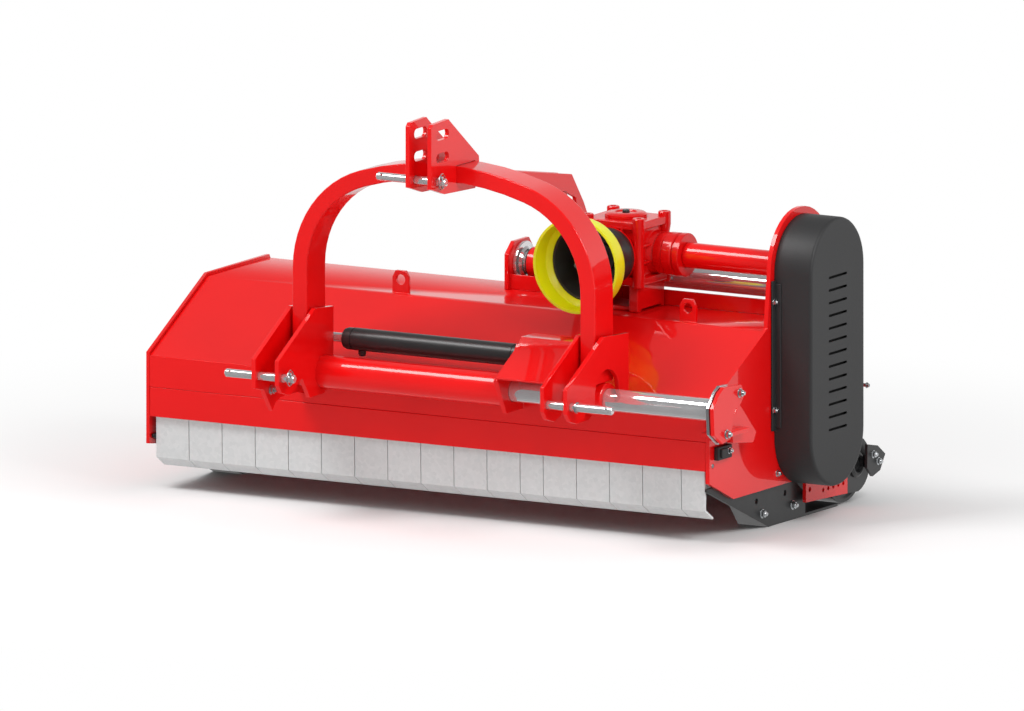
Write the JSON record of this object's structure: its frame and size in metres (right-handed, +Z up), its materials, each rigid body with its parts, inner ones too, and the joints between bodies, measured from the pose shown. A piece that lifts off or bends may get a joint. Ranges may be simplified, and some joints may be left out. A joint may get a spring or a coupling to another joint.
{
  "type": "side-shift flail mulcher",
  "caption": "Tractor-mounted flail mulcher with an arched three-point headstock, side shift on chrome bars, side belt drive, front flaps and a rear roller.",
  "frame": {"origin": "under the middle of the whole machine, on the ground", "axes": "+X along the deck towards the belt cover, +Y towards the rear roller, +Z up"},
  "size_m": [1.8406, 1.158, 1.107],
  "materials": {
    "red_paint": "gloss",
    "black_paint": "satin",
    "chrome": "polished",
    "galvanised": "satin",
    "steel": "machined",
    "yellow_plastic": "moulded",
    "black_plastic": "fine grain",
    "rubber": "matte"
  },
  "bodies": {
    "deck": {"left_side_plate": "red_paint", "right_side_plate": "red_paint", "hood": "red_paint", "front_beam": "red_paint", "rear_beam": "red_paint", "bar_bracket_left": "red_paint", "bar_bracket_right": "red_paint", "gearbox": "red_paint", "shaft_tube": "red_paint", "roller_arm_left": "red_paint", "roller_arm_right": "red_paint", "front_bar": "chrome", "rear_bar": "chrome", "cylinder_rod": "chrome", "flap_rod": "steel", "skid_left": "black_paint", "skid_right": "black_paint", "pto_guard": "yellow_plastic", "belt_cover": "black_plastic", "drive_belt": "rubber"},
    "headstock": {"front_sleeve": "red_paint", "right_sleeve": "red_paint", "rear_sleeve": "red_paint", "arch": "red_paint", "hitch_plate_left_outer": "red_paint", "hitch_plate_left_inner": "red_paint", "hitch_plate_right_inner": "red_paint", "hitch_plate_right_outer": "red_paint", "top_link_plate_left": "red_paint", "top_link_plate_right": "red_paint", "stay_left": "red_paint", "stay_right": "red_paint", "cylinder_guard": "red_paint", "cylinder_barrel": "black_paint"},
    "rotor_unit": {"rotor": "black_paint", "lower_pulley": "steel"},
    "drive_line": {"drive_shaft": "steel", "upper_pulley": "steel"},
    "input_line": {"input_shaft": "steel"},
    "roller_unit": {"rear_roller": "black_paint"},
    "pin_left": {"lower_pin_left": "chrome"},
    "pin_right": {"lower_pin_right": "chrome"},
    "pin_top": {"top_link_pin": "chrome"},
    "flap_01_unit": {"flap_01": "galvanised"},
    "flap_02_unit": {"flap_02": "galvanised"},
    "flap_03_unit": {"flap_03": "galvanised"},
    "flap_04_unit": {"flap_04": "galvanised"},
    "flap_05_unit": {"flap_05": "galvanised"},
    "flap_06_unit": {"flap_06": "galvanised"},
    "flap_07_unit": {"flap_07": "galvanised"},
    "flap_08_unit": {"flap_08": "galvanised"},
    "flap_09_unit": {"flap_09": "galvanised"},
    "flap_10_unit": {"flap_10": "galvanised"},
    "flap_11_unit": {"flap_11": "galvanised"},
    "flap_12_unit": {"flap_12": "galvanised"},
    "flap_13_unit": {"flap_13": "galvanised"},
    "flap_14_unit": {"flap_14": "galvanised"},
    "flap_15_unit": {"flap_15": "galvanised"},
    "flap_16_unit": {"flap_16": "galvanised"},
    "flap_17_unit": {"flap_17": "galvanised"}
  },
  "joints": [
    {"name": "side_shift", "type": "slide", "parent": "deck", "child": "headstock", "axis": [1, 0, 0], "range_m": [0, 0.3]},
    {"name": "rotor_spin", "type": "hinge", "parent": "deck", "child": "rotor_unit", "pos_m": [0, 0.201, 0.24], "axis": [1, 0, 0], "continuous": true},
    {"name": "drive_shaft_spin", "type": "hinge", "parent": "deck", "child": "drive_line", "pos_m": [0.69, 0.201, 0.677], "axis": [1, 0, 0], "continuous": true},
    {"name": "input_shaft_spin", "type": "hinge", "parent": "deck", "child": "input_line", "pos_m": [0.29, 0.019, 0.677], "axis": [0, 1, 0], "continuous": true},
    {"name": "roller_spin", "type": "hinge", "parent": "deck", "child": "roller_unit", "pos_m": [0, 0.474, 0.105], "axis": [1, 0, 0], "continuous": true},
    {"name": "pin_left_slide", "type": "slide", "parent": "headstock", "child": "pin_left", "axis": [1, 0, 0], "range_m": [0, 0.176]},
    {"name": "pin_right_slide", "type": "slide", "parent": "headstock", "child": "pin_right", "axis": [1, 0, 0], "range_m": [0, 0.13]},
    {"name": "pin_top_slide", "type": "slide", "parent": "headstock", "child": "pin_top", "axis": [1, 0, 0], "range_m": [0, 0.19]},
    {"name": "flap_01_swing", "type": "hinge", "parent": "deck", "child": "flap_01_unit", "pos_m": [0, -0.2628, 0.212], "axis": [1, 0, 0], "range_deg": [0, 60]},
    {"name": "flap_02_swing", "type": "hinge", "parent": "deck", "child": "flap_02_unit", "pos_m": [0, -0.2628, 0.212], "axis": [1, 0, 0], "range_deg": [0, 60]},
    {"name": "flap_03_swing", "type": "hinge", "parent": "deck", "child": "flap_03_unit", "pos_m": [0, -0.2628, 0.212], "axis": [1, 0, 0], "range_deg": [0, 60]},
    {"name": "flap_04_swing", "type": "hinge", "parent": "deck", "child": "flap_04_unit", "pos_m": [0, -0.2628, 0.212], "axis": [1, 0, 0], "range_deg": [0, 60]},
    {"name": "flap_05_swing", "type": "hinge", "parent": "deck", "child": "flap_05_unit", "pos_m": [0, -0.2628, 0.212], "axis": [1, 0, 0], "range_deg": [0, 60]},
    {"name": "flap_06_swing", "type": "hinge", "parent": "deck", "child": "flap_06_unit", "pos_m": [0, -0.2628, 0.212], "axis": [1, 0, 0], "range_deg": [0, 60]},
    {"name": "flap_07_swing", "type": "hinge", "parent": "deck", "child": "flap_07_unit", "pos_m": [0, -0.2628, 0.212], "axis": [1, 0, 0], "range_deg": [0, 60]},
    {"name": "flap_08_swing", "type": "hinge", "parent": "deck", "child": "flap_08_unit", "pos_m": [0, -0.2628, 0.212], "axis": [1, 0, 0], "range_deg": [0, 60]},
    {"name": "flap_09_swing", "type": "hinge", "parent": "deck", "child": "flap_09_unit", "pos_m": [0, -0.2628, 0.212], "axis": [1, 0, 0], "range_deg": [0, 60]},
    {"name": "flap_10_swing", "type": "hinge", "parent": "deck", "child": "flap_10_unit", "pos_m": [0, -0.2628, 0.212], "axis": [1, 0, 0], "range_deg": [0, 60]},
    {"name": "flap_11_swing", "type": "hinge", "parent": "deck", "child": "flap_11_unit", "pos_m": [0, -0.2628, 0.212], "axis": [1, 0, 0], "range_deg": [0, 60]},
    {"name": "flap_12_swing", "type": "hinge", "parent": "deck", "child": "flap_12_unit", "pos_m": [0, -0.2628, 0.212], "axis": [1, 0, 0], "range_deg": [0, 60]},
    {"name": "flap_13_swing", "type": "hinge", "parent": "deck", "child": "flap_13_unit", "pos_m": [0, -0.2628, 0.212], "axis": [1, 0, 0], "range_deg": [0, 60]},
    {"name": "flap_14_swing", "type": "hinge", "parent": "deck", "child": "flap_14_unit", "pos_m": [0, -0.2628, 0.212], "axis": [1, 0, 0], "range_deg": [0, 60]},
    {"name": "flap_15_swing", "type": "hinge", "parent": "deck", "child": "flap_15_unit", "pos_m": [0, -0.2628, 0.212], "axis": [1, 0, 0], "range_deg": [0, 60]},
    {"name": "flap_16_swing", "type": "hinge", "parent": "deck", "child": "flap_16_unit", "pos_m": [0, -0.2628, 0.212], "axis": [1, 0, 0], "range_deg": [0, 60]},
    {"name": "flap_17_swing", "type": "hinge", "parent": "deck", "child": "flap_17_unit", "pos_m": [0, -0.2628, 0.212], "axis": [1, 0, 0], "range_deg": [0, 60]}
  ],
  "couplings": [
    {"joint": "drive_shaft_spin", "follows": "rotor_spin", "ratio": 0.73684},
    {"joint": "input_shaft_spin", "follows": "rotor_spin", "ratio": 0.24561}
  ]
}
